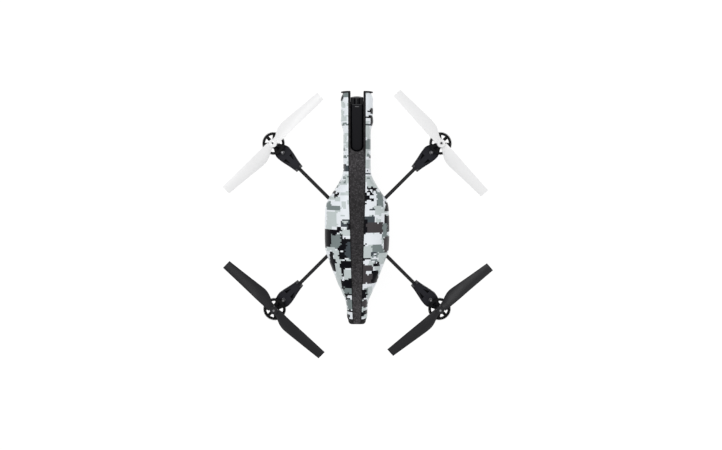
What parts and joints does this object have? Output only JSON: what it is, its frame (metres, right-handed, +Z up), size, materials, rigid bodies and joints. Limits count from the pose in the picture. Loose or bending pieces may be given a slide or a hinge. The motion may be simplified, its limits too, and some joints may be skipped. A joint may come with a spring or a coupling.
{
  "type": "quadcopter drone",
  "caption": "Small camera quadcopter with geared two-blade propellers on carbon arms and a long lift-off foam hull with a camera in its nose.",
  "frame": {"origin": "on the ground, under the centre of the cross where the four arms meet", "axes": "+Y towards the camera nose, +X to the drone's right, +Z up"},
  "size_m": [0.407, 0.4048, 0.108],
  "materials": {
    "carbon_tube": "satin wrapped carbon-fibre tube",
    "black_nylon": "moulded black nylon, fine satin",
    "motor_steel": "turned steel motor can",
    "steel": "ground steel shaft",
    "spring_steel": "blackened spring steel",
    "bronze": "sintered bronze bush",
    "gear_nylon": "black acetal gear",
    "white_propeller": "white moulded plastic, soft gloss",
    "black_propeller": "black moulded plastic, soft gloss",
    "lead_insulation": "sleeved bundle of motor leads",
    "circuit_board": "green solder mask",
    "sensor_aluminium": "aluminium transducer can with mesh face",
    "black_gloss": "polished black plastic",
    "battery_sleeve": "black battery case",
    "strap_webbing": "woven black strap",
    "black_foam": "black expanded foam, beaded",
    "cover_plastic": "satin black cover",
    "lens_glass": "coated camera lens in its barrel",
    "charcoal_foam": "charcoal expanded foam, speckled beads",
    "snow_camouflage": "white, grey and black square-block camouflage, satin gloss"
  },
  "bodies": {
    "airframe": {"arm_tube_front_right": "carbon_tube", "motor_mount_front_right": "black_nylon", "landing_foot_front_right": "black_nylon", "motor_can_front_right": "motor_steel", "arm_tube_front_left": "carbon_tube", "motor_mount_front_left": "black_nylon", "landing_foot_front_left": "black_nylon", "motor_can_front_left": "motor_steel", "arm_tube_rear_left": "carbon_tube", "motor_mount_rear_left": "black_nylon", "landing_foot_rear_left": "black_nylon", "motor_can_rear_left": "motor_steel", "arm_tube_rear_right": "carbon_tube", "motor_mount_rear_right": "black_nylon", "landing_foot_rear_right": "black_nylon", "motor_can_rear_right": "motor_steel", "motor_controllers": "circuit_board", "shaft_bushes": "bronze", "motor_leads": "lead_insulation", "mount_screws": "spring_steel", "central_cross": "black_nylon", "electronics_tray": "black_nylon", "main_board": "circuit_board", "navigation_board": "circuit_board", "ultrasound_sensors": "sensor_aluminium", "ground_camera": "black_gloss", "usb_socket": "steel", "battery_pack": "battery_sleeve", "battery_strap": "strap_webbing", "belly_foam": "black_foam", "camera_cover": "cover_plastic", "camera_bezel": "black_gloss", "camera_lens": "lens_glass"},
    "hull": {"hull_foam": "charcoal_foam", "hull_skin_left": "snow_camouflage", "hull_skin_right": "snow_camouflage"},
    "rotor_front_right": {"gear_front_right": "gear_nylon", "rotor_shaft_front_right": "steel", "propeller_front_right": "white_propeller", "circlip_front_right": "spring_steel"},
    "motor_rotor_front_right": {"motor_shaft_front_right": "steel", "pinion_front_right": "steel"},
    "rotor_front_left": {"gear_front_left": "gear_nylon", "rotor_shaft_front_left": "steel", "propeller_front_left": "white_propeller", "circlip_front_left": "spring_steel"},
    "motor_rotor_front_left": {"motor_shaft_front_left": "steel", "pinion_front_left": "steel"},
    "rotor_rear_left": {"gear_rear_left": "gear_nylon", "rotor_shaft_rear_left": "steel", "propeller_rear_left": "black_propeller", "circlip_rear_left": "spring_steel"},
    "motor_rotor_rear_left": {"motor_shaft_rear_left": "steel", "pinion_rear_left": "steel"},
    "rotor_rear_right": {"gear_rear_right": "gear_nylon", "rotor_shaft_rear_right": "steel", "propeller_rear_right": "black_propeller", "circlip_rear_right": "spring_steel"},
    "motor_rotor_rear_right": {"motor_shaft_rear_right": "steel", "pinion_rear_right": "steel"}
  },
  "joints": [
    {"name": "hull_lift", "type": "slide", "parent": "airframe", "child": "hull", "axis": [0, 0, 1], "range_m": [0, 0.08]},
    {"name": "propeller_spin_front_right", "type": "hinge", "parent": "airframe", "child": "rotor_front_right", "pos_m": [0.1255, 0.1255, 0.0736], "axis": [0, 0, 1], "continuous": true},
    {"name": "pinion_spin_front_right", "type": "hinge", "parent": "airframe", "child": "motor_rotor_front_right", "pos_m": [0.11226, 0.11226, 0.0736], "axis": [0, 0, 1], "continuous": true},
    {"name": "propeller_spin_front_left", "type": "hinge", "parent": "airframe", "child": "rotor_front_left", "pos_m": [-0.1255, 0.1255, 0.0736], "axis": [0, 0, 1], "continuous": true},
    {"name": "pinion_spin_front_left", "type": "hinge", "parent": "airframe", "child": "motor_rotor_front_left", "pos_m": [-0.11226, 0.11226, 0.0736], "axis": [0, 0, 1], "continuous": true},
    {"name": "propeller_spin_rear_left", "type": "hinge", "parent": "airframe", "child": "rotor_rear_left", "pos_m": [-0.1255, -0.1255, 0.0736], "axis": [0, 0, 1], "continuous": true},
    {"name": "pinion_spin_rear_left", "type": "hinge", "parent": "airframe", "child": "motor_rotor_rear_left", "pos_m": [-0.11226, -0.11226, 0.0736], "axis": [0, 0, 1], "continuous": true},
    {"name": "propeller_spin_rear_right", "type": "hinge", "parent": "airframe", "child": "rotor_rear_right", "pos_m": [0.1255, -0.1255, 0.0736], "axis": [0, 0, 1], "continuous": true},
    {"name": "pinion_spin_rear_right", "type": "hinge", "parent": "airframe", "child": "motor_rotor_rear_right", "pos_m": [0.11226, -0.11226, 0.0736], "axis": [0, 0, 1], "continuous": true}
  ],
  "couplings": [
    {"joint": "pinion_spin_front_right", "follows": "propeller_spin_front_right", "ratio": -8.75},
    {"joint": "pinion_spin_front_left", "follows": "propeller_spin_front_left", "ratio": -8.75},
    {"joint": "pinion_spin_rear_left", "follows": "propeller_spin_rear_left", "ratio": -8.75},
    {"joint": "pinion_spin_rear_right", "follows": "propeller_spin_rear_right", "ratio": -8.75}
  ]
}
